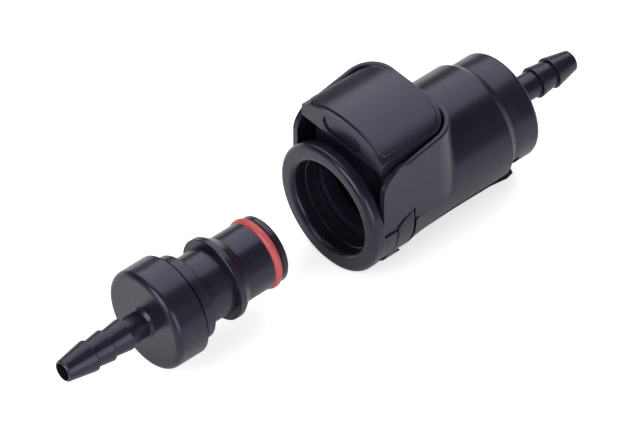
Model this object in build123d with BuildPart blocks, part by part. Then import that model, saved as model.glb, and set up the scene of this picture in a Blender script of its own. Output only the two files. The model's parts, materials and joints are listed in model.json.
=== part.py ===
# Plastic quick disconnect coupling: a thumb-latch socket and the valved insert pulled out in front of it.
# X runs along the common axis from insert to socket, Z is up (thumb button on top).
# The origin is the centre of the socket's mouth.
from build123d import *
import math
import os

os.makedirs("parts", exist_ok=True)

# ---- fits, mm ----
RUN_FIT = 0.06  # valve stem in its guide, radial
WELD_FIT = 0.05  # spigot in its bore, radial
LATCH_GAP = 0.35  # latch to its slot and channel
SLOT_GAP = 0.3  # lock plate to the walls of its slot
SEAT_GAP = 0.3  # seal to its seat, relaxed
RING_FIT = 0.05  # O-ring to the floor of its gland
RING_GAP = 0.1  # O-ring to the bores it passes

# ---- driving sizes of the socket, mm ----
BARREL_R = 10.8  # main barrel
BARREL_END = 32.3
WELD_TAPER_L = 1.6
BODY_END = BARREL_END + WELD_TAPER_L  # weld face of the socket body
COLLAR_STEP = 1.2
COLLAR_R = BARREL_R + COLLAR_STEP  # round front collar
COLLAR_L = 2.5
COLLAR_ROUND = 0.9
COLLAR_FLAT = 0.3
COLLAR_BASE_Z = -(COLLAR_R - COLLAR_FLAT)  # small flat under the collar
REAR_STEP = 1.0
REAR_R = BARREL_R - REAR_STEP  # rear adapter barrel
REAR_L = 5.6
REAR_END = BODY_END + REAR_L
REAR_BARB_L = 16.1
REAR_TIP = REAR_END + REAR_BARB_L
GUIDE_X0 = BODY_END + 0.1  # stem guide of the socket valve
GUIDE_X1 = GUIDE_X0 + 1.4
SPIGOT_L = 6.4
SPIGOT_X0 = BODY_END - SPIGOT_L
CHAMBER_R = 6.4
SPIGOT_WALL = 0.9
SPIGOT_R = CHAMBER_R + SPIGOT_WALL
THROAT_R = 4.0
SEAL_BORE_END = 20.2
SEAT_T = 1.8
SEAT_END = SEAL_BORE_END + SEAT_T

# ---- driving sizes of the insert, mm; its stations are measured from the barb tip ----
INSERT_X = -57.3  # barb tip of the insert, pulled out
CAP_X = 17.2
SEAM_X = 23.7
RING_END = 26.4
FLANGE_X = 32.0
CREST_END = 33.1
RAMP_END = 35.2
NOSE_END = 43.6
CAP_R = 9.1
RING_R = 7.7
GROOVE_R = 6.15
FLANGE_R = 7.5
NOSE_R = 6.1
INSERT_BORE_R = 5.0
GLAND_R = 4.7
O_RING_W = 0.875  # half the section
O_RING_X = NOSE_END - 2.2
O_RING_OUT = GLAND_R + RING_FIT + 2 * O_RING_W

BARB_R = 2.85  # hose barbs for 4.8 mm bore tube
STEM_R = 2.4
TIP_R = 1.95
FLOW_R = 1.55
VALVE_STEM_R = 1.5

# ---- bores of the socket, which follow the insert, mm ----
SEAL_BORE_R = O_RING_OUT + RING_GAP
FLANGE_BORE_R = FLANGE_R + 0.3
MOUTH_STEP_R = RING_R + 0.9
MOUTH_R = MOUTH_STEP_R + 0.15
MOUTH_STEP_X = 2.8
LIP_ROUND = 1.1

# ---- button guard, mm ----
GUARD_HALF = BARREL_R + 0.6  # outer half width
GUARD_WALL = 1.05
GUARD_BACK_WALL = 1.1
GUARD_END = 19.9
GUARD_CORNER = 5.2
GUARD_RISE = 0.2  # slope of the guard's rim
GUARD_SPREAD = ((0, 5.0), (6.0, 3.0), (10.5, 1.4), (14.0, 0.4), (19.0, 0.0))  # height, spread of its back
RIM_Z = BARREL_R + 2.75  # lowest point of the sloping rim
RIM_ROUND = 0.4

# ---- thumb latch, mm ----
PRESS = 1.3  # travel
PLATE_X0 = 5.6
PLATE_T = 2.3
PLATE_HALF = BARREL_R - 1.6
PLATE_HOLE_R = O_RING_OUT + RING_GAP + PRESS  # the nose passes while the latch is up
SLOT_X0 = PLATE_X0 - SLOT_GAP  # slot for the lock plate
SLOT_X1 = PLATE_X0 + PLATE_T + SLOT_GAP
LATCH_BASE_Z = COLLAR_BASE_Z + 0.1
BLOCK_TOP_Z = -(FLANGE_BORE_R + 1.55)
BLOCK_END = 9.2
ARM_ANGLE = 44.0  # half the wrap of the spring arm round the underside
ARM_SINK = 0.45
ARM_T = 0.8
ARM_IN_R = BARREL_R - ARM_SINK
ARM_R = ARM_IN_R + ARM_T
FLARE_R = COLLAR_R  # underside flares towards the collar
FLARE_END = 20.5
WRAP_IN_R = BARREL_R - 0.3  # inside of the latch sides
WRAP_T = 1.2
WRAP_R = WRAP_IN_R + WRAP_T
WRAP_ANGLE = 102.0
WRAP_FOOT_Z = 0.4
WRAP_TIP_Z = 2.2
HOOK_T = 1.0
HOOK_X0 = BODY_END + 0.3
HOOK_X1 = HOOK_X0 + HOOK_T
HOOK_DEPTH = 0.95
HOOK_IN_R = REAR_R - HOOK_DEPTH
HOOK_GROOVE_ANGLE = 68.0
PAD_X0 = 3.2
PAD_X1 = GUARD_END - GUARD_BACK_WALL - LATCH_GAP
PAD_HALF = GUARD_HALF - GUARD_WALL - LATCH_GAP
PAD_BASE_Z = BARREL_R + PRESS + 0.7  # clears the barrel when pressed
PAD_H = 5.4
PAD_CROWN_Z = PAD_BASE_Z + PAD_H
PAD_ARCH_R = 20.0
PAD_RIM = 0.7
PAD_SKIN = 1.5


# ---- 1. socket body: one acetal moulding with collar, barrel and U-shaped button guard ----
guard_in = GUARD_HALF - GUARD_WALL


def arm_plane(half_angle):
    """Half plane through the axis, turned half_angle to one side of straight down."""
    turn = math.radians(-90 - half_angle)
    return Plane(origin=(0, 0, 0), x_dir=(1, 0, 0), z_dir=(0, -math.sin(turn), math.cos(turn)))


with BuildPart() as coupling_body:
    # guard: rounded U in plan, its back spreading into the barrel, its top rising to the rear
    for height, spread in GUARD_SPREAD:
        with BuildSketch(Plane.XY.offset(height)):
            with Locations(((COLLAR_L + GUARD_END + spread) / 2, 0)):
                Rectangle(GUARD_END + spread - COLLAR_L, 2 * GUARD_HALF)
            fillet(vertices().group_by(Axis.X)[-1], GUARD_CORNER + spread)
    loft()
    with BuildSketch(Plane.XZ):
        with BuildLine():
            Line((COLLAR_L, 0), (COLLAR_L, RIM_Z - 4.15))
            front_round = ThreePointArc(
                (COLLAR_L, RIM_Z - 4.15),
                (COLLAR_L + 1.4, RIM_Z - 1.35),
                (COLLAR_L + 4.5, RIM_Z),
            )
            rim = Line(front_round @ 1, (COLLAR_L + 24.5, RIM_Z + 20.0 * GUARD_RISE))
            Polyline(rim @ 1, (COLLAR_L + 24.5, 0), (COLLAR_L, 0))
        make_face()
    extrude(amount=30, both=True, mode=Mode.INTERSECT)
    with BuildSketch(Plane.XY):
        with Locations(((PAD_X1 + LATCH_GAP - 2) / 2, 0)):
            Rectangle(PAD_X1 + LATCH_GAP + 2, 2 * guard_in)
        fillet(vertices().group_by(Axis.X)[-1], GUARD_CORNER - GUARD_WALL)
    extrude(amount=25, mode=Mode.SUBTRACT)
    top_edges = [e for e in edges() if e.center().Z > RIM_Z - 0.55 and e.length > 4]
    rim_edges = [e for e in top_edges if abs(e.tangent_at(0.5).Z) < 0.6]
    fillet(rim_edges, RIM_ROUND)
    # barrel and collar, with a small flat under the collar
    with BuildSketch(Plane.XZ):
        with BuildLine():
            Line((0, 0), (0, COLLAR_R - COLLAR_ROUND))
            RadiusArc((0, COLLAR_R - COLLAR_ROUND), (COLLAR_ROUND, COLLAR_R), COLLAR_ROUND)
            Line((COLLAR_ROUND, COLLAR_R), (COLLAR_L - 0.5, COLLAR_R))
            RadiusArc((COLLAR_L - 0.5, COLLAR_R), (COLLAR_L, COLLAR_R - 0.5), 0.5)
            Polyline(
                (COLLAR_L, COLLAR_R - 0.5),
                (COLLAR_L, BARREL_R),
                (BARREL_END, BARREL_R),
                (BODY_END, REAR_R),
                (BODY_END, 0),
                (0, 0),
            )
        make_face()
    revolve(axis=Axis.X)
    # lower half of the barrel flares towards the collar
    with BuildPart(mode=Mode.ADD) as flare:
        with BuildSketch(Plane.XZ):
            with BuildLine():
                Polyline(
                    (COLLAR_L, BARREL_R - 1),
                    (COLLAR_L, FLARE_R - 0.3),
                    (SLOT_X0, FLARE_R - 0.3),
                    (SLOT_X0, WRAP_IN_R - LATCH_GAP),
                    (BLOCK_END + LATCH_GAP, WRAP_IN_R - LATCH_GAP),
                    (BLOCK_END + LATCH_GAP, FLARE_R - 0.3),
                )
                Spline(
                    (BLOCK_END + LATCH_GAP, FLARE_R - 0.3),
                    (15.0, BARREL_R + 0.3),
                    (FLARE_END, BARREL_R),
                    tangents=((1, -0.25), (1, 0)),
                )
                Polyline((FLARE_END, BARREL_R), (FLARE_END, BARREL_R - 1), (COLLAR_L, BARREL_R - 1))
            make_face()
        revolve(axis=Axis.X)
        with Locations((15, 0, 20)):
            Box(60, 60, 40, mode=Mode.SUBTRACT)
    # seat for the sides of the latch, which wrap the barrel past mid height
    with BuildPart(mode=Mode.SUBTRACT) as wrap_seat:
        with BuildSketch(Plane.XZ):
            with Locations(((SLOT_X0 + BLOCK_END + LATCH_GAP) / 2, WRAP_IN_R - LATCH_GAP + 2)):
                Rectangle(BLOCK_END + LATCH_GAP - SLOT_X0, 4)
        revolve(axis=Axis.X)
        with Locations((15, 0, 20 + WRAP_TIP_Z + LATCH_GAP)):
            Box(60, 60, 40, mode=Mode.SUBTRACT)
        with BuildSketch(Plane.XZ.move(Location((0, 0, LATCH_GAP)))):
            with BuildLine():
                Line((SLOT_X0 - 1, WRAP_FOOT_Z), (PLATE_X0, WRAP_FOOT_Z))
                ThreePointArc(
                    (PLATE_X0, WRAP_FOOT_Z),
                    (PLATE_X0 + 1.8, WRAP_TIP_Z - 0.6),
                    (BLOCK_END - 0.4, WRAP_TIP_Z),
                )
                Polyline(
                    (BLOCK_END - 0.4, WRAP_TIP_Z),
                    (BLOCK_END - 0.4, 6.0),
                    (SLOT_X0 - 1, 6.0),
                    (SLOT_X0 - 1, WRAP_FOOT_Z),
                )
            make_face()
        extrude(amount=20, both=True, mode=Mode.SUBTRACT)
    with BuildSketch(Plane.XY.offset(COLLAR_BASE_Z)):
        with Locations((15, 0)):
            Rectangle(60, 40)
    extrude(amount=-5, mode=Mode.SUBTRACT)
    # bores: mouth, flange pocket, seal bore, valve throat, valve chamber, weld bore
    with BuildSketch(Plane.XZ):
        with BuildLine():
            Line((-1, 0), (-1, MOUTH_R + LIP_ROUND))
            Line((-1, MOUTH_R + LIP_ROUND), (0, MOUTH_R + LIP_ROUND))
            RadiusArc((0, MOUTH_R + LIP_ROUND), (LIP_ROUND, MOUTH_R), -LIP_ROUND)
            Polyline(
                (LIP_ROUND, MOUTH_R),
                (MOUTH_STEP_X, MOUTH_R),
                (MOUTH_STEP_X + 0.1, MOUTH_STEP_R),
                (SLOT_X1, MOUTH_STEP_R),
                (SLOT_X1, FLANGE_BORE_R),
                (11.6, FLANGE_BORE_R),
                (12.8, SEAL_BORE_R),
                (SEAL_BORE_END, SEAL_BORE_R),
                (SEAL_BORE_END, THROAT_R),
                (SEAT_END, THROAT_R),
                (SEAT_END, CHAMBER_R),
                (SPIGOT_X0, CHAMBER_R),
                (SPIGOT_X0, SPIGOT_R + WELD_FIT),
                (BODY_END + 1, SPIGOT_R + WELD_FIT),
                (BODY_END + 1, 0),
                (-1, 0),
            )
        make_face()
    revolve(axis=Axis.X, mode=Mode.SUBTRACT)
    # slot for the lock plate, open above and below
    with Locations(((SLOT_X0 + SLOT_X1) / 2, 0, 0)):
        Box(SLOT_X1 - SLOT_X0, 2 * (PLATE_HALF + LATCH_GAP), 40, mode=Mode.SUBTRACT)
    # channel under the barrel for the latch block and the curved spring arm
    with Locations(((SLOT_X0 + BLOCK_END + LATCH_GAP) / 2, 0, -14)):
        Box(BLOCK_END + LATCH_GAP - SLOT_X0, 30, 10, mode=Mode.SUBTRACT)
    with BuildSketch(arm_plane(ARM_ANGLE + 2)):
        with Locations(((SLOT_X1 - 1 + BODY_END + 1) / 2, ARM_IN_R - LATCH_GAP + 3)):
            Rectangle(BODY_END + 1 - SLOT_X1 + 1, 6)
    revolve(axis=Axis.X, revolution_arc=2 * (ARM_ANGLE + 2), mode=Mode.SUBTRACT)
coupling_body.part.label = "coupling_body"
export_step(coupling_body.part, "parts/coupling_body.step")


# ---- 2. thumb latch: button, lock plate, spring arm and hook in one acetal moulding ----
with BuildPart() as thumb_latch:
    # button pad with an arched top and a stepped rim
    with BuildSketch(Plane.XY.offset(PAD_BASE_Z)):
        with Locations(((PAD_X0 + PAD_X1) / 2, 0)):
            Rectangle(PAD_X1 - PAD_X0, 2 * PAD_HALF)
        fillet(vertices().group_by(Axis.X)[-1], GUARD_CORNER - GUARD_WALL - LATCH_GAP)
    extrude(amount=10)
    with Locations((12, 0, PAD_CROWN_Z - PAD_ARCH_R)):
        Cylinder(PAD_ARCH_R - 0.35, 40, rotation=(0, 90, 0), mode=Mode.INTERSECT)
    with BuildPart(mode=Mode.ADD) as pad_crown:
        with BuildSketch(Plane.XY.offset(PAD_BASE_Z + 1)):
            with Locations(((PAD_X0 + PAD_X1) / 2, 0)):
                Rectangle(PAD_X1 - PAD_X0 - 2 * PAD_RIM, 2 * PAD_HALF - 2 * PAD_RIM)
            fillet(vertices().group_by(Axis.X)[-1], GUARD_CORNER - GUARD_WALL - LATCH_GAP - PAD_RIM)
            fillet(vertices().group_by(Axis.X)[0], 1.0)
        extrude(amount=10)
        with Locations((12, 0, PAD_CROWN_Z - PAD_ARCH_R)):
            Cylinder(PAD_ARCH_R, 40, rotation=(0, 90, 0), mode=Mode.INTERSECT)
        fillet(faces().sort_by(Axis.Z)[-1].edges(), 0.3)
    # hollow underside
    with BuildPart(mode=Mode.SUBTRACT) as pad_core:
        with BuildSketch(Plane.XY.offset(PAD_BASE_Z - 1)):
            with Locations(((PLATE_X0 + PLATE_T + PAD_X1 - 1.3) / 2, 0)):
                Rectangle(PAD_X1 - 1.3 - PLATE_X0 - PLATE_T, 2 * PAD_HALF - 2.6)
            fillet(vertices().group_by(Axis.X)[-1], 2.2)
        extrude(amount=10)
        with Locations((12, 0, PAD_CROWN_Z - PAD_ARCH_R)):
            Cylinder(PAD_ARCH_R - PAD_SKIN - 0.35, 40, rotation=(0, 90, 0), mode=Mode.INTERSECT)
    # shallow bare pill recess on the front face of the button
    with BuildSketch(Plane.YZ.offset(PAD_X0)):
        with Locations((0, 15.2)):
            SlotOverall(9.4, 3.0)
    extrude(amount=0.3, mode=Mode.SUBTRACT)
    # lock plate with its large hole, raised by the press travel
    with BuildSketch(Plane.YZ.offset(PLATE_X0)):
        with Locations((0, (PAD_BASE_Z + 0.6 + LATCH_BASE_Z) / 2)):
            Rectangle(2 * PLATE_HALF, PAD_BASE_Z + 0.6 - LATCH_BASE_Z)
        fillet(vertices().group_by(Axis.Y)[0], 5.5)
        with Locations((0, PRESS)):
            Circle(PLATE_HOLE_R, mode=Mode.SUBTRACT)
    extrude(amount=PLATE_T)
    # lower block behind the plate
    with BuildSketch(Plane.YZ.offset(PLATE_X0)):
        with Locations((0, (BLOCK_TOP_Z + LATCH_BASE_Z) / 2 + 4)):
            Rectangle(2 * PLATE_HALF, BLOCK_TOP_Z - LATCH_BASE_Z + 8)
        fillet(vertices().group_by(Axis.Y)[0], 5.5)
        with Locations((0, BLOCK_TOP_Z + 10)):
            Rectangle(40, 20, mode=Mode.SUBTRACT)
    extrude(amount=BLOCK_END - PLATE_X0)
    # sides of the lower block wrap the barrel and rise to a tip above mid height
    with BuildPart(mode=Mode.ADD) as wrap:
        with BuildSketch(arm_plane(WRAP_ANGLE)):
            with Locations(((PLATE_X0 + BLOCK_END) / 2, (WRAP_IN_R + WRAP_R) / 2)):
                RectangleRounded(BLOCK_END - PLATE_X0, WRAP_R - WRAP_IN_R, 0.3)
        revolve(axis=Axis.X, revolution_arc=2 * WRAP_ANGLE)
        with BuildSketch(Plane.XZ):
            with BuildLine():
                Line((PLATE_X0 - 1, WRAP_FOOT_Z), (PLATE_X0, WRAP_FOOT_Z))
                ThreePointArc(
                    (PLATE_X0, WRAP_FOOT_Z),
                    (PLATE_X0 + 1.8, WRAP_TIP_Z - 0.6),
                    (BLOCK_END - 0.4, WRAP_TIP_Z),
                )
                Polyline(
                    (BLOCK_END - 0.4, WRAP_TIP_Z),
                    (BLOCK_END - 0.4, WRAP_TIP_Z + 0.3),
                    (BLOCK_END + 1, WRAP_TIP_Z + 0.3),
                    (BLOCK_END + 1, WRAP_TIP_Z + 4.0),
                    (PLATE_X0 - 1, WRAP_TIP_Z + 4.0),
                    (PLATE_X0 - 1, WRAP_FOOT_Z),
                )
            make_face()
        extrude(amount=20, both=True, mode=Mode.SUBTRACT)
        with Locations((20, 0, LATCH_BASE_Z - 10)):
            Box(60, 40, 20, mode=Mode.SUBTRACT)
    # spring arm curved round the underside, ending in the hook
    with BuildPart(mode=Mode.ADD) as arm:
        with BuildSketch(arm_plane(ARM_ANGLE)):
            with BuildLine():
                Polyline((8.0, BARREL_R - 0.2), (8.0, WRAP_R), (BLOCK_END, WRAP_R))
                Spline(
                    (BLOCK_END, WRAP_R),
                    (15.0, BARREL_R + 0.5),
                    (FLARE_END + 1, ARM_R),
                    (HOOK_X0 - 4.2, ARM_R + 0.05),
                    tangents=((1, -0.2), (1, 0)),
                )
                Polyline(
                    (HOOK_X0 - 4.2, ARM_R + 0.05),
                    (HOOK_X0 - 0.6, ARM_R + 0.45),
                    (HOOK_X1, ARM_R + 0.15),
                    (HOOK_X1, HOOK_IN_R),
                    (HOOK_X0, HOOK_IN_R),
                    (HOOK_X0, ARM_IN_R),
                    (12.0, ARM_IN_R),
                    (8.0, BARREL_R - 0.2),
                )
            make_face()
        revolve(axis=Axis.X, revolution_arc=2 * ARM_ANGLE)
        with Locations((20, 0, LATCH_BASE_Z - 10)):
            Box(60, 40, 20, mode=Mode.SUBTRACT)
thumb_latch.part.label = "thumb_latch"
export_step(thumb_latch.part, "parts/thumb_latch.step")


# ---- 3. rear barb adapter, spin-welded into the back of the socket body ----
with BuildPart() as body_barb_adapter:
    with BuildSketch(Plane.XZ):
        with BuildLine():
            Polyline(
                (SPIGOT_X0 + 0.1, 5.6),
                (SPIGOT_X0 + 0.1, SPIGOT_R),
                (BODY_END, SPIGOT_R),
                (BODY_END, REAR_R - 0.1),
                (HOOK_X1 + LATCH_GAP, REAR_R),
                (REAR_END - 0.9, REAR_R),
            )
            RadiusArc((REAR_END - 0.9, REAR_R), (REAR_END, REAR_R - 0.9), 0.9)
            Polyline(
                (REAR_END, REAR_R - 0.9),
                (REAR_END, STEM_R + 0.5),
                (REAR_END + 0.5, STEM_R),
                (REAR_END + 7.4, STEM_R),
                (REAR_END + 7.45, BARB_R),
                (REAR_END + 7.65, BARB_R),
                (REAR_END + 11.1, STEM_R),
                (REAR_END + 11.15, BARB_R),
                (REAR_END + 11.35, BARB_R),
                (REAR_TIP - 0.2, TIP_R),
                (REAR_TIP, TIP_R - 0.2),
                (REAR_TIP, FLOW_R),
                (REAR_END - 0.9, FLOW_R),
                (BODY_END + 3.1, 5.0),
                (GUIDE_X1, 5.0),
                (GUIDE_X1, VALVE_STEM_R + RUN_FIT),
                (GUIDE_X0, VALVE_STEM_R + RUN_FIT),
                (GUIDE_X0, 5.6),
                (SPIGOT_X0 + 0.1, 5.6),
            )
        make_face()
    revolve(axis=Axis.X)
    # flow holes through the stem guide
    with BuildSketch(Plane.YZ.offset(BODY_END - 0.4)):
        with PolarLocations(3.4, 4, start_angle=45):
            Circle(1.1)
    extrude(amount=2.3, mode=Mode.SUBTRACT)
    # groove that takes the latch hook, longer than the hook at both sides
    with BuildSketch(arm_plane(HOOK_GROOVE_ANGLE)):
        with Locations(((BODY_END - 1 + HOOK_X1 + LATCH_GAP) / 2, HOOK_IN_R - LATCH_GAP + 2)):
            Rectangle(HOOK_X1 + LATCH_GAP - BODY_END + 1, 4)
    revolve(axis=Axis.X, revolution_arc=2 * HOOK_GROOVE_ANGLE, mode=Mode.SUBTRACT)
body_barb_adapter.part.label = "body_barb_adapter"
export_step(body_barb_adapter.part, "parts/body_barb_adapter.step")


# ---- 4. socket valve poppet: pin, seal hub, flange and guide stem ----
with BuildPart() as body_valve_poppet:
    with BuildSketch(Plane.XZ):
        with BuildLine():
            Polyline(
                (SEAT_END - 7.7, 0),
                (SEAT_END - 7.7, 1.6),
                (SEAT_END - 7.3, 2.0),
                (SEAT_END - 0.4, 2.0),
                (SEAT_END + SEAT_GAP, 3.55),
                (SEAT_END + 1.75, 3.55),
                (SEAT_END + 1.75, 5.3),
                (SEAT_END + 3.1, 5.3),
                (SEAT_END + 3.1, 2.4),
                (SEAT_END + 3.8, VALVE_STEM_R),
                (GUIDE_X1 - 0.4, VALVE_STEM_R),
                (GUIDE_X1 - 0.4, 0),
                (SEAT_END - 7.7, 0),
            )
        make_face()
    revolve(axis=Axis.X)
body_valve_poppet.part.label = "body_valve_poppet"
export_step(body_valve_poppet.part, "parts/body_valve_poppet.step")


# ---- 5. socket valve seal: ring on the poppet hub ----
with BuildPart() as body_valve_seal:
    with BuildSketch(Plane.XZ):
        with Locations((SEAT_END + SEAT_GAP + 0.7, 4.3)):
            Circle(0.7)
    revolve(axis=Axis.X)
body_valve_seal.part.label = "body_valve_seal"
export_step(body_valve_seal.part, "parts/body_valve_seal.step")


# ---- 6. socket valve spring: steel wire coil between poppet flange and stem guide ----
with BuildPart() as body_valve_spring:
    with BuildLine() as body_coil:
        Helix(
            pitch=1.6,
            height=GUIDE_X0 - 0.65 - SEAT_END - 3.65,
            radius=3.7,
            center=(SEAT_END + 3.65, 0, 0),
            direction=(1, 0, 0),
        )
    with BuildSketch(Plane(origin=body_coil.line @ 0, z_dir=body_coil.line % 0)):
        Circle(0.35)
    sweep(is_frenet=True)
body_valve_spring.part.label = "body_valve_spring"
export_step(body_valve_spring.part, "parts/body_valve_spring.step")


# ---- 7. insert body: stop ring, latch groove, flange with lead-in ramp and seal nose ----
with BuildPart() as insert_body:
    with BuildSketch(Plane.XZ):
        with BuildLine():
            Polyline(
                (INSERT_X + SEAM_X, INSERT_BORE_R),
                (INSERT_X + SEAM_X, RING_R - 0.35),
                (INSERT_X + SEAM_X + 0.35, RING_R),
                (INSERT_X + RING_END - 0.25, RING_R),
                (INSERT_X + RING_END, RING_R - 0.25),
                (INSERT_X + RING_END, GROOVE_R),
                (INSERT_X + FLANGE_X, GROOVE_R),
                (INSERT_X + FLANGE_X, FLANGE_R - 0.1),
                (INSERT_X + FLANGE_X + 0.1, FLANGE_R),
                (INSERT_X + CREST_END, FLANGE_R),
                (INSERT_X + RAMP_END, NOSE_R),
                (INSERT_X + O_RING_X - O_RING_W - 0.075, NOSE_R),
                (INSERT_X + O_RING_X - O_RING_W - 0.075, GLAND_R),
                (INSERT_X + O_RING_X + O_RING_W + 0.075, GLAND_R),
                (INSERT_X + O_RING_X + O_RING_W + 0.075, NOSE_R),
                (INSERT_X + NOSE_END - 0.3, NOSE_R),
                (INSERT_X + NOSE_END, NOSE_R - 0.3),
                (INSERT_X + NOSE_END, 3.9),
                (INSERT_X + NOSE_END - 0.4, 3.5),
                (INSERT_X + NOSE_END - 3.4, 3.5),
                (INSERT_X + NOSE_END - 4.8, INSERT_BORE_R),
                (INSERT_X + SEAM_X, INSERT_BORE_R),
            )
        make_face()
    revolve(axis=Axis.X)
insert_body.part.label = "insert_body"
export_step(insert_body.part, "parts/insert_body.step")


# ---- 8. insert barb cap: hose barb, round shoulder and spigot, welded to the insert body ----
with BuildPart() as insert_barb_cap:
    with BuildSketch(Plane.XZ):
        with BuildLine():
            Polyline(
                (INSERT_X, FLOW_R),
                (INSERT_X, TIP_R - 0.2),
                (INSERT_X + 0.2, TIP_R),
                (INSERT_X + 5.4, BARB_R),
                (INSERT_X + 5.6, BARB_R),
                (INSERT_X + 5.65, STEM_R),
                (INSERT_X + 8.95, BARB_R),
                (INSERT_X + 9.15, BARB_R),
                (INSERT_X + 9.2, STEM_R),
                (INSERT_X + 12.8, BARB_R),
                (INSERT_X + 13.0, BARB_R),
                (INSERT_X + 13.05, STEM_R),
                (INSERT_X + CAP_X - 0.5, STEM_R),
                (INSERT_X + CAP_X, STEM_R + 0.5),
                (INSERT_X + CAP_X, CAP_R - 1.1),
            )
            RadiusArc(
                (INSERT_X + CAP_X, CAP_R - 1.1),
                (INSERT_X + CAP_X + 1.1, CAP_R),
                1.1,
            )
            Polyline(
                (INSERT_X + CAP_X + 1.1, CAP_R),
                (INSERT_X + SEAM_X - 0.3, CAP_R),
                (INSERT_X + SEAM_X - 0.02, CAP_R - 0.28),
                (INSERT_X + SEAM_X - 0.02, INSERT_BORE_R - WELD_FIT),
                (INSERT_X + SEAM_X + 2.3, INSERT_BORE_R - WELD_FIT),
                (INSERT_X + SEAM_X + 2.3, 3.9),
                (INSERT_X + CAP_X + 3.7, 3.9),
                (INSERT_X + CAP_X + 3.7, VALVE_STEM_R + RUN_FIT),
                (INSERT_X + CAP_X + 2.3, VALVE_STEM_R + RUN_FIT),
                (INSERT_X + CAP_X + 2.3, 3.6),
                (INSERT_X + CAP_X + 1.4, 3.6),
                (INSERT_X + CAP_X - 0.5, FLOW_R),
                (INSERT_X, FLOW_R),
            )
        make_face()
    revolve(axis=Axis.X)
    with BuildSketch(Plane.YZ.offset(INSERT_X + CAP_X + 2.0)):
        with PolarLocations(2.7, 4, start_angle=45):
            Circle(0.8)
    extrude(amount=2.0, mode=Mode.SUBTRACT)
insert_barb_cap.part.label = "insert_barb_cap"
export_step(insert_barb_cap.part, "parts/insert_barb_cap.step")


# ---- 9. nose O-ring of the insert ----
with BuildPart() as nose_o_ring:
    with BuildSketch(Plane.XZ):
        with Locations((INSERT_X + O_RING_X, GLAND_R + RING_FIT + O_RING_W)):
            Circle(O_RING_W)
    revolve(axis=Axis.X)
nose_o_ring.part.label = "nose_o_ring"
export_step(nose_o_ring.part, "parts/nose_o_ring.step")


# ---- 10. insert valve poppet ----
with BuildPart() as insert_valve_poppet:
    with BuildSketch(Plane.XZ):
        with BuildLine():
            Polyline(
                (INSERT_X + CAP_X + 2.7, 0),
                (INSERT_X + CAP_X + 2.7, VALVE_STEM_R),
                (INSERT_X + NOSE_END - 7.8, VALVE_STEM_R),
                (INSERT_X + NOSE_END - 7.1, 2.2),
                (INSERT_X + NOSE_END - 7.1, 4.5),
                (INSERT_X + NOSE_END - 5.8, 4.5),
                (INSERT_X + NOSE_END - 5.8, 3.0),
                (INSERT_X + NOSE_END - 4.3, 3.0),
                (INSERT_X + NOSE_END - 3.6, 2.0),
                (INSERT_X + NOSE_END - 0.45, 2.0),
                (INSERT_X + NOSE_END - 0.05, 1.6),
                (INSERT_X + NOSE_END - 0.05, 0),
                (INSERT_X + CAP_X + 2.7, 0),
            )
        make_face()
    revolve(axis=Axis.X)
insert_valve_poppet.part.label = "insert_valve_poppet"
export_step(insert_valve_poppet.part, "parts/insert_valve_poppet.step")


# ---- 11. insert valve seal ----
with BuildPart() as insert_valve_seal:
    with BuildSketch(Plane.XZ):
        with Locations((INSERT_X + NOSE_END - 5.05, 3.75)):
            Circle(0.7)
    revolve(axis=Axis.X)
insert_valve_seal.part.label = "insert_valve_seal"
export_step(insert_valve_seal.part, "parts/insert_valve_seal.step")


# ---- 12. insert valve spring ----
with BuildPart() as insert_valve_spring:
    with BuildLine() as insert_coil:
        Helix(
            pitch=2.55,
            height=NOSE_END - 7.6 - CAP_X - 4.2,
            radius=3.05,
            center=(INSERT_X + CAP_X + 4.2, 0, 0),
            direction=(1, 0, 0),
        )
    with BuildSketch(Plane(origin=insert_coil.line @ 0, z_dir=insert_coil.line % 0)):
        Circle(0.35)
    sweep(is_frenet=True)
insert_valve_spring.part.label = "insert_valve_spring"
export_step(insert_valve_spring.part, "parts/insert_valve_spring.step")
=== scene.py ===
import json
import math

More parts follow.
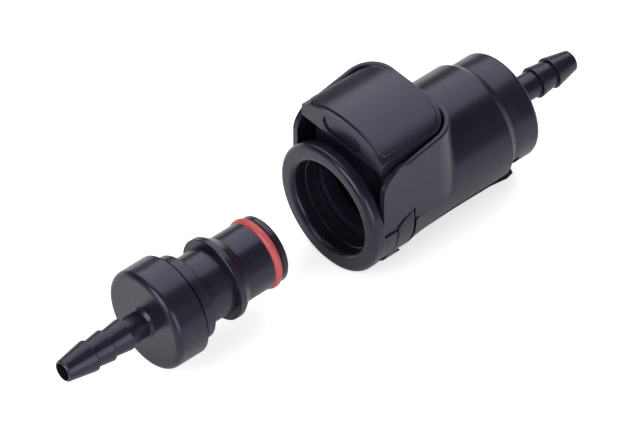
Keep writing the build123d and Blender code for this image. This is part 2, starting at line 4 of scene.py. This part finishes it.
import bmesh
import bpy
from mathutils import Vector
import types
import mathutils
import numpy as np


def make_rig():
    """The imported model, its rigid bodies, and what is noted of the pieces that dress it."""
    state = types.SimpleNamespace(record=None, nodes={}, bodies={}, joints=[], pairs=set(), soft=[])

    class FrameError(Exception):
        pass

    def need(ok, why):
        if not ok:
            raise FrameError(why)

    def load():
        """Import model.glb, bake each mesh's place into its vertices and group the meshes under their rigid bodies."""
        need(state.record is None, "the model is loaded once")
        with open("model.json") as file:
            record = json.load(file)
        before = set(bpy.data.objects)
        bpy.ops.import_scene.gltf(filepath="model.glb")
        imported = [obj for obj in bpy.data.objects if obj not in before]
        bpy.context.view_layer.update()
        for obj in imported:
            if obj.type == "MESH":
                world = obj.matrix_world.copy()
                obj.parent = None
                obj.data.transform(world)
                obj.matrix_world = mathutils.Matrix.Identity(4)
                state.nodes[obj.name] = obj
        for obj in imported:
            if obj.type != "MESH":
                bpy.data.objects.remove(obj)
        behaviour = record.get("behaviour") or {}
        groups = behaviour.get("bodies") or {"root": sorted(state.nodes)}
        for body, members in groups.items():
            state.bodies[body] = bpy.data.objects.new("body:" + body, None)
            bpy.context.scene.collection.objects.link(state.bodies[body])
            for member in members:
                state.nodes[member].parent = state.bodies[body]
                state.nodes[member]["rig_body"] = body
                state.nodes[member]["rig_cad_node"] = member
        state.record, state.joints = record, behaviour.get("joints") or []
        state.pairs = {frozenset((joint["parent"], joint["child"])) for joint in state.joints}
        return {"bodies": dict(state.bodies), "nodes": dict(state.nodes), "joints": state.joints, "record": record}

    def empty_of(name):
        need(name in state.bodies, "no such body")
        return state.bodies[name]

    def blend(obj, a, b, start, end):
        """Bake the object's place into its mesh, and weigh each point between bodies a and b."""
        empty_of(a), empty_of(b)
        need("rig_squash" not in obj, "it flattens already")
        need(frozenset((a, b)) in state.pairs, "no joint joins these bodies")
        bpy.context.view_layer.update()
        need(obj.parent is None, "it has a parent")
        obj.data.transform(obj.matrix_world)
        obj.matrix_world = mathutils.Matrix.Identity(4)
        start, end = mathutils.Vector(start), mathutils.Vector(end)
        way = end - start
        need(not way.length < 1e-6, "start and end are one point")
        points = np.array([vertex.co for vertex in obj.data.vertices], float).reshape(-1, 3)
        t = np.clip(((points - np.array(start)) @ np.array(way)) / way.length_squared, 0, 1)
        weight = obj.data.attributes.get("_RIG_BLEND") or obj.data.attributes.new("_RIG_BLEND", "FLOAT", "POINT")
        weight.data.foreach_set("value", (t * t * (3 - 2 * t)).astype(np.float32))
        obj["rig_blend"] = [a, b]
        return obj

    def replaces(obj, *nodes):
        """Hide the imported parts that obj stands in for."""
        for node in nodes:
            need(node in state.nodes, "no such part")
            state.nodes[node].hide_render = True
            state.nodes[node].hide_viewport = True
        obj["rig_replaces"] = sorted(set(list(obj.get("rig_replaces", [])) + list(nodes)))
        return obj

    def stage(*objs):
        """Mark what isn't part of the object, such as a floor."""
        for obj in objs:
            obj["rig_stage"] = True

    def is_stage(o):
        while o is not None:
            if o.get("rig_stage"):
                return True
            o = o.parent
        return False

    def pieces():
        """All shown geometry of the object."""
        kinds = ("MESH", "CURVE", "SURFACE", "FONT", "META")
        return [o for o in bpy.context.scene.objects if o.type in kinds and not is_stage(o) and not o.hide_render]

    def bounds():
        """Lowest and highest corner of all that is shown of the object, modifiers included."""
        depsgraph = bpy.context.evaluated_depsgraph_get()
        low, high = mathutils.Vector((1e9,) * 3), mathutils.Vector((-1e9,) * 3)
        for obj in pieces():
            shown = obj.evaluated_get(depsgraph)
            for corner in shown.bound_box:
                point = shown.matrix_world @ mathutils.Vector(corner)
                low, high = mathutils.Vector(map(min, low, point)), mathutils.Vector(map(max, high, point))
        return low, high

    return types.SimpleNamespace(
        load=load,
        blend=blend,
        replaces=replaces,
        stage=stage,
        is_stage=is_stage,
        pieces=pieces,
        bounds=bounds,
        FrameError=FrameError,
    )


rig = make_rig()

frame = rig.load()
cad = frame["nodes"]
cad_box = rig.bounds()


# ---- socket body ----
# The socket is one black acetal moulding from a two-part mould: collar, barrel and button guard.
# It leaves the mould with a waxy sheen, a hair-thin parting line at mid height and faint flow marks.
def named(tree, kind, label, spot, **values):
    """A shader node with its label, its place in the editor and its plain values."""
    node = tree.nodes.new(kind)
    node.label = label
    node.location = spot
    for key, value in values.items():
        setattr(node, key, value)
    return node


def blank(name):
    """A new material, its tree, its shader and the place on the piece that its patterns read."""
    made = bpy.data.materials.new(name)
    made.use_nodes = True
    tree = made.node_tree
    place = named(tree, "ShaderNodeTexCoord", "place on the piece", (-1400, 0))
    return made, tree, tree.nodes["Principled BSDF"], place


def noise(tree, place, label, spot, scale, detail=2.0, roughness=0.5):
    """A cloudy value over the piece."""
    cloud = named(tree, "ShaderNodeTexNoise", label, spot)
    cloud.inputs["Scale"].default_value = scale
    cloud.inputs["Detail"].default_value = detail
    cloud.inputs["Roughness"].default_value = roughness
    tree.links.new(place.outputs["Object"], cloud.inputs["Vector"])
    return cloud.outputs["Fac"]


def two_tones(tree, value, label, spot, low, high, ends=(0.0, 1.0)):
    """A colour that runs from low to high as a value passes its two ends."""
    ramp = named(tree, "ShaderNodeValToRGB", label, spot)
    for stop, end, colour in zip(ramp.color_ramp.elements, ends, (low, high)):
        stop.position = end
        stop.color = (*colour, 1)
    tree.links.new(value, ramp.inputs["Fac"])
    return ramp.outputs["Color"]


def spread(tree, value, label, spot, between=(0.0, 1.0), gives=(0.0, 1.0), smooth=False):
    """Turns the part of a value that lies between two limits into the range that it gives."""
    course = "SMOOTHSTEP" if smooth else "LINEAR"
    node = named(tree, "ShaderNodeMapRange", label, spot, interpolation_type=course)
    node.inputs["From Min"].default_value, node.inputs["From Max"].default_value = between
    node.inputs["To Min"].default_value, node.inputs["To Max"].default_value = gives
    tree.links.new(value, node.inputs["Value"])
    return node.outputs["Result"]


def off_plane(tree, place, axis, at, label, height):
    """How far a point lies to either side of a plane across one axis, in metres."""
    split = named(tree, "ShaderNodeSeparateXYZ", "place along each axis", (-1100, height))
    tree.links.new(place.outputs["Object"], split.inputs["Vector"])
    past = named(tree, "ShaderNodeMath", label, (-900, height), operation="SUBTRACT")
    past.inputs[1].default_value = at
    tree.links.new(split.outputs[axis], past.inputs[0])
    off = named(tree, "ShaderNodeMath", "either side of it", (-750, height), operation="ABSOLUTE")
    tree.links.new(past.outputs["Value"], off.inputs[0])
    return off.outputs["Value"]


def relief(tree, height, label, spot, strength, depth, under=None):
    """A fine relief, laid over the relief under it where there is one."""
    bump = named(tree, "ShaderNodeBump", label, spot)
    bump.inputs["Strength"].default_value = strength
    bump.inputs["Distance"].default_value = depth
    tree.links.new(height, bump.inputs["Height"])
    if under is not None:
        tree.links.new(under, bump.inputs["Normal"])
    return bump.outputs["Normal"]


def acetal(name, shade, sheen, parted=False, turned=False, painted_gap_shadow_at=None):
    """Acetal: near-black violet plastic with a waxy gloss, faint flow marks and a fine skin.

    A parted piece shows the line where the halves of its mould met at mid height, and a turned
    one has fine rings round the axis. The last argument is where a painted shadow of an open joint crosses the axis.
    """
    made, tree, skin, place = blank(name)
    link = tree.links.new
    skin.inputs["IOR"].default_value = 1.48
    skin.inputs["Specular IOR Level"].default_value = 0.5
    skin.inputs["Specular Tint"].default_value = (0.72, 0.69, 1.0, 1)
    skin.inputs["Coat Weight"].default_value = 0.06
    skin.inputs["Coat Roughness"].default_value = 0.15
    # the melt's flow marks
    flow = noise(tree, place, "melt flow", (-1100, 300), scale=260.0, detail=4.0, roughness=0.6)
    thin_melt = [part * 0.86 for part in shade]
    thick_melt = [part * 1.14 for part in shade]
    melt = two_tones(tree, flow, "melt colour", (-850, 300), thin_melt, thick_melt, ends=(0.3, 0.75))
    # edges that hands and hoses rub turn a little paler
    form = named(tree, "ShaderNodeNewGeometry", "form of the piece", (-1400, -300))
    pointed = form.outputs["Pointiness"]
    rubbed = spread(tree, pointed, "rubbed edges", (-1100, 60), between=(0.52, 0.62), gives=(0.0, 0.35))
    worn = named(tree, "ShaderNodeMix", "colour with wear", (-550, 250), data_type="RGBA")
    worn.inputs["B"].default_value = [part * 1.6 + 0.004 for part in shade] + [1]
    link(rubbed, worn.inputs["Factor"])
    link(melt, worn.inputs["A"])
    colour = worn.outputs["Result"]
    # painted shadow: the open joint is painted near black and without gloss, where shade falls into it
    if painted_gap_shadow_at is not None:
        # the joint takes in light, so it has neither colour nor gloss
        beside = off_plane(tree, place, "X", painted_gap_shadow_at, "past the painted joint shadow", 620)
        clear_of_painted_shadow = (0.00018, 0.00034)
        clear = spread(tree, beside, "clear of the painted joint shadow", (-600, 620), between=clear_of_painted_shadow, smooth=True)
        painted_shadow_colour = named(tree, "ShaderNodeMix", "colour with painted joint shadow", (-350, 450), data_type="RGBA")
        # near black: the colour of the painted joint shadow
        painted_shadow_colour.inputs["A"].default_value = (0.001, 0.001, 0.0015, 1)
        link(clear, painted_shadow_colour.inputs["Factor"])
        link(colour, painted_shadow_colour.inputs["B"])
        colour = painted_shadow_colour.outputs["Result"]
        gloss_outside_painted_shadow = named(tree, "ShaderNodeMath", "gloss beside the painted joint shadow", (-350, 620), operation="MULTIPLY")
        gloss_outside_painted_shadow.inputs[1].default_value = 0.5
        link(clear, gloss_outside_painted_shadow.inputs[0])
        link(gloss_outside_painted_shadow.outputs["Value"], skin.inputs["Specular IOR Level"])
    link(colour, skin.inputs["Base Color"])
    # the sheen wanders with the polish of the mould
    polish = noise(tree, place, "mould polish", (-1100, -120), scale=350.0, detail=3.0)
    gloss = spread(tree, polish, "gloss spread", (-850, -120), gives=(sheen - 0.03, sheen + 0.04))
    link(gloss, skin.inputs["Roughness"])
    # fine grain, then rings and the parting line over it
    grain = noise(tree, place, "skin grain", (-1100, -420), scale=3500.0, detail=1.0)
    surface = relief(tree, grain, "grain relief", (-550, -350), 0.04, 0.00001)
    if turned:
        rings = named(tree, "ShaderNodeTexWave", "turned rings", (-1100, -640), bands_direction="X")
        rings.inputs["Scale"].default_value = 900.0
        rings.inputs["Distortion"].default_value = 1.5
        link(place.outputs["Object"], rings.inputs["Vector"])
        ring = rings.outputs["Fac"]
        surface = relief(tree, ring, "ring relief", (-350, -450), 0.08, 0.00002, under=surface)
    if parted:
        away = off_plane(tree, place, "Z", 0.0, "past the parting plane", -860)
        fades = (0.00003, 0.0001)
        line = spread(tree, away, "parting line", (-600, -860), between=fades, gives=(1.0, 0.0), smooth=True)
        surface = relief(tree, line, "parting relief", (-150, -550), 0.55, 0.00006, under=surface)
    link(surface, skin.inputs["Normal"])
    return made


def finish_with(material, *names):
    """Gives CAD pieces their material."""
    for name in names:
        cad[name].data.materials.clear()
        cad[name].data.materials.append(material)


black_violet = (0.0095, 0.0085, 0.0150)
finish_with(acetal("socket body acetal", black_violet, sheen=0.28, parted=True), "coupling_body")


# ---- thumb latch ----
# Button, lock plate, spring arm and hook are one acetal moulding, a little glossier than the socket
# because its cavity is polished. The recess on the button's front face is left bare.
latch_violet = (0.0095, 0.0086, 0.0155)
finish_with(acetal("thumb latch acetal", latch_violet, sheen=0.24), "thumb_latch")


# ---- rear barb adapter ----
# The hose barb at the back is an acetal moulding of its own.
# Its spigot is spun in the socket's rear bore until the joint between them melts.
finish_with(acetal("rear adapter acetal", black_violet, sheen=0.30, parted=True), "body_barb_adapter")


# ---- insert ----
# Insert body and barb cap are two acetal mouldings, and the open joint at the cap's shoulder gets a painted shadow
# line.
# Both come from a side-split mould, so a faint line runs along each side, and the body keeps
# fine rings from the turned core of its mould.
# place along the axis of the painted shadow in the cap's open joint
cap_painted_shadow_at = -0.03376
insert_acetal = acetal("insert body acetal", black_violet, sheen=0.28, parted=True, turned=True)
cap_acetal = acetal("insert cap acetal", black_violet, sheen=0.27, parted=True, painted_gap_shadow_at=cap_painted_shadow_at)
finish_with(insert_acetal, "insert_body")
finish_with(cap_acetal, "insert_barb_cap")


# ---- valve poppets ----
# A small acetal poppet closes each half from inside and slides in its stem guide.
# Both are turned from rod, so they have fine rings and are duller than the mouldings.
rod_violet = (0.012, 0.011, 0.017)
poppet_acetal = acetal("poppet acetal", rod_violet, sheen=0.34, turned=True)
finish_with(poppet_acetal, "body_valve_poppet", "insert_valve_poppet")


# ---- nose O-ring and valve seals ----
# The nose ring is salmon-red silicone rubber, pressed in a mould and stretched into its groove.
# The two valve seals are black rubber rings, held on their poppets in the same way.
def rubber(name, shade, sheen):
    """Moulded rubber: a soft sheen, a cloudy bloom and a fine speckle."""
    made, tree, skin, place = blank(name)
    skin.inputs["IOR"].default_value = 1.43
    skin.inputs["Subsurface Weight"].default_value = 0.08
    skin.inputs["Subsurface Scale"].default_value = 0.0006
    bloom = noise(tree, place, "rubber bloom", (-850, 200), scale=700.0, detail=3.0)
    dull_tone = [part * 0.9 for part in shade]
    full_tone = [part * 1.1 for part in shade]
    colour = two_tones(tree, bloom, "rubber colour", (-600, 200), dull_tone, full_tone)
    tree.links.new(colour, skin.inputs["Base Color"])
    gloss = spread(tree, bloom, "rubber gloss", (-600, -50), gives=(sheen - 0.06, sheen + 0.06))
    tree.links.new(gloss, skin.inputs["Roughness"])
    speckle = noise(tree, place, "rubber speckle", (-850, -300), scale=6000.0)
    surface = relief(tree, speckle, "speckle relief", (-350, -300), 0.15, 0.00002)
    tree.links.new(surface, skin.inputs["Normal"])
    return made


salmon_red = (0.44, 0.072, 0.080)
seal_black = (0.022, 0.022, 0.024)
finish_with(rubber("red silicone rubber", salmon_red, sheen=0.38), "nose_o_ring")
finish_with(rubber("black seal rubber", seal_black, sheen=0.45), "body_valve_seal", "insert_valve_seal")


# ---- valve springs ----
# Each spring is coiled from drawn stainless wire and sits between its poppet and a seat.
# It shortens as the poppet is pushed back, so one end of the coil goes with the poppet
# and the other stays with the seat.
spring_wire, wire_tree, wire_skin, wire_place = blank("drawn spring wire")
wire_skin.inputs["Metallic"].default_value = 1.0
marks = noise(wire_tree, wire_place, "drawing marks", (-650, 0), scale=3000.0)
mark_grey = (0.42, 0.42, 0.43)
bright_grey = (0.62, 0.62, 0.62)
wire_colour = two_tones(wire_tree, marks, "wire colour", (-400, 150), mark_grey, bright_grey)
wire_gloss = spread(wire_tree, marks, "wire gloss", (-400, -100), gives=(0.25, 0.42))
wire_tree.links.new(wire_colour, wire_skin.inputs["Base Color"])
wire_tree.links.new(wire_gloss, wire_skin.inputs["Roughness"])
weld_gap = 1e-7  # corners closer than this are one corner
for spring, poppet, seat, poppet_end, seat_end in (
    ("body_valve_spring", "body_valve", "socket", min, max),
    ("insert_valve_spring", "insert_valve", "insert", max, min),
):
    finish_with(spring_wire, spring)
    coil_mesh = cad[spring].data.copy()
    welded = bmesh.new()
    welded.from_mesh(coil_mesh)
    bmesh.ops.remove_doubles(welded, verts=welded.verts, dist=weld_gap)
    welded.to_mesh(coil_mesh)
    welded.free()
    coil = bpy.data.objects.new(spring + "_coil", coil_mesh)
    bpy.context.scene.collection.objects.link(coil)
    reach = [corner.co.x for corner in coil_mesh.vertices]
    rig.replaces(coil, spring)
    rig.blend(coil, poppet, seat, start=(poppet_end(reach), 0, 0), end=(seat_end(reach), 0, 0))


# ---- floor ----
# A wide sheet of matt white paper lies level with the coupling's lowest face.
# It fills the view and takes the soft shadow.
sheet_half = 1.5
sheet_level = cad_box[0].z
sheet_corners = [
    (x * sheet_half, y * sheet_half, sheet_level) for x, y in ((-1, -1), (1, -1), (1, 1), (-1, 1))
]
floor_mesh = bpy.data.meshes.new("floor")
floor_mesh.from_pydata(sheet_corners, [], [(0, 1, 2, 3)])
floor = bpy.data.objects.new("floor", floor_mesh)
bpy.context.scene.collection.objects.link(floor)
paper = bpy.data.materials.new("white paper")
paper.use_nodes = True
paper_tree = paper.node_tree
paper_skin = paper_tree.nodes["Principled BSDF"]
paper_skin.inputs["Roughness"].default_value = 0.9
paper_skin.inputs["Specular IOR Level"].default_value = 0.1
# to the eye the paper glows a little, so that it reads white and keeps the shadow
eye = named(paper_tree, "ShaderNodeLightPath", "what looks", (-300, -300))
no_glow = named(paper_tree, "ShaderNodeEmission", "no glow", (-50, -450))
no_glow.inputs["Strength"].default_value = 0.0
glow = named(paper_tree, "ShaderNodeEmission", "extra white", (-50, -300))
glow.inputs["Strength"].default_value = 0.58
seen_glow = named(paper_tree, "ShaderNodeMixShader", "glow to the eye only", (200, -300))
paper_tree.links.new(eye.outputs["Is Camera Ray"], seen_glow.inputs["Fac"])
paper_tree.links.new(no_glow.outputs["Emission"], seen_glow.inputs[1])
paper_tree.links.new(glow.outputs["Emission"], seen_glow.inputs[2])
# the plastic mirrors a slightly paler sheet than the eye sees
tone = named(paper_tree, "ShaderNodeMix", "paper tone", (-300, 100), data_type="RGBA")
tone.inputs["A"].default_value = (0.95, 0.95, 0.95, 1)
tone.inputs["B"].default_value = (0.9, 0.9, 0.9, 1)
paper_tree.links.new(eye.outputs["Is Camera Ray"], tone.inputs["Factor"])
paper_tree.links.new(tone.outputs["Result"], paper_skin.inputs["Base Color"])
lit_paper = named(paper_tree, "ShaderNodeAddShader", "paper and glow", (450, 0))
paper_tree.links.new(paper_skin.outputs["BSDF"], lit_paper.inputs[0])
paper_tree.links.new(seen_glow.outputs["Shader"], lit_paper.inputs[1])
paper_tree.links.new(lit_paper.outputs["Shader"], paper_tree.nodes["Material Output"].inputs["Surface"])
floor_mesh.materials.append(paper)
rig.stage(floor)


# ---- light ----
# Three large soft boxes light the coupling: one high behind it, one at its left, one low in front.
# A dim pale room fills the shadows, and what the eye sees of it is plain white.
scene = bpy.context.scene
scene.view_settings.view_transform = "Standard"
room = bpy.data.worlds.new("pale room")
scene.world = room
room.use_nodes = True
room_tree = room.node_tree
dim_room = room_tree.nodes["Background"]
dim_room.inputs["Color"].default_value = (1, 1, 1, 1)
dim_room.inputs["Strength"].default_value = 0.14
white_room = named(room_tree, "ShaderNodeBackground", "white behind", (0, -200))
white_room.inputs["Color"].default_value = (1, 1, 1, 1)
white_room.inputs["Strength"].default_value = 1.0
onlooker = named(room_tree, "ShaderNodeLightPath", "what looks", (-300, 200))
seen_room = named(room_tree, "ShaderNodeMixShader", "room or white", (250, 0))
room_tree.links.new(onlooker.outputs["Is Camera Ray"], seen_room.inputs["Fac"])
room_tree.links.new(dim_room.outputs["Background"], seen_room.inputs[1])
room_tree.links.new(white_room.outputs["Background"], seen_room.inputs[2])
room_tree.links.new(seen_room.outputs["Shader"], room_tree.nodes["World Output"].inputs["Surface"])
for name, spot, width, power in (
    ("overhead box", Vector((0.26, 0.29, 0.50)), 0.75, 3.6),
    ("left box", Vector((-0.60, -0.05, 0.40)), 0.50, 3.8),
    ("front box", Vector((-0.10, -0.60, 0.13)), 0.55, 2.8),
):
    lamp = bpy.data.lights.new(name, "AREA")
    lamp.shape = "SQUARE"
    lamp.size = width
    lamp.energy = power
    box = bpy.data.objects.new(name, lamp)
    box.location = spot
    box.rotation_euler = (-spot).to_track_quat("-Z", "Y").to_euler()
    scene.collection.objects.link(box)


# ---- camera ----
# A long lens looks down on the socket's mouth from its front left corner, a metre away.
# It is aimed a little left of the mouth's centre and below it.
turn = math.radians(-41.5)
rise = math.radians(44.0)
stand_off = 1.0
view_width = 0.638 / 6.0  # what the view takes in at the mouth
frame_width = 36.0
back = Vector((math.sin(turn) * math.cos(rise), -math.cos(turn) * math.cos(rise), math.sin(rise)))
side = Vector((0, 0, 1)).cross(back).normalized()
top = back.cross(side)
aim = -side * 0.00135 - top * 0.0019
lens = bpy.data.cameras.new("camera")
lens.sensor_width = frame_width
lens.lens = frame_width * stand_off / view_width
lens.clip_start = 0.01
lens.clip_end = 10.0
camera = bpy.data.objects.new("camera", lens)
camera.location = aim + back * stand_off
camera.rotation_euler = (-back).to_track_quat("-Z", "Y").to_euler()
scene.collection.objects.link(camera)
scene.camera = camera


# ---- size ----
# The box round the solids and the box round what is shown are written side by side to extents.json.
shown_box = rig.bounds()
with open("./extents.json", "w") as out:
    json.dump({"cad": [list(c) for c in cad_box], "looks": [list(c) for c in shown_box]}, out)
